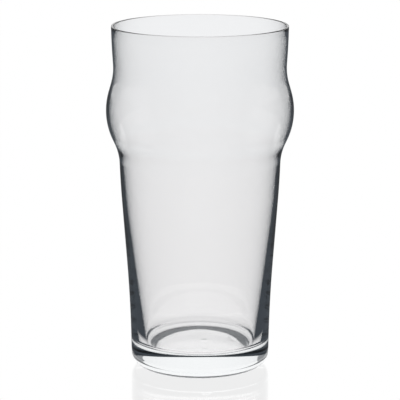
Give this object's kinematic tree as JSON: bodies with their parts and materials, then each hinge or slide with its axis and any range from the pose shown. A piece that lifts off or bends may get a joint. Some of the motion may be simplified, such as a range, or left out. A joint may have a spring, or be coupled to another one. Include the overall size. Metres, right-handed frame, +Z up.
{
  "type": "pint glass",
  "caption": "Clear nonic pint glass with a heavy foot, tapered wall, rounded grip bulge below a plain flared rim, for beer and other cold drinks.",
  "frame": {"origin": "centre of the base, on the plane that the glass stands on", "axes": "+Z up along the glass's axis towards the rim; X and Y are any two directions across it, because the glass is turned"},
  "size_m": [0.0876, 0.0876, 0.1616],
  "materials": {
    "clear_glass": "clear, fire polished, with a faint cool grey tint in the thick foot"
  },
  "bodies": {
    "root": {"glass_body": "clear_glass"}
  },
  "joints": []
}
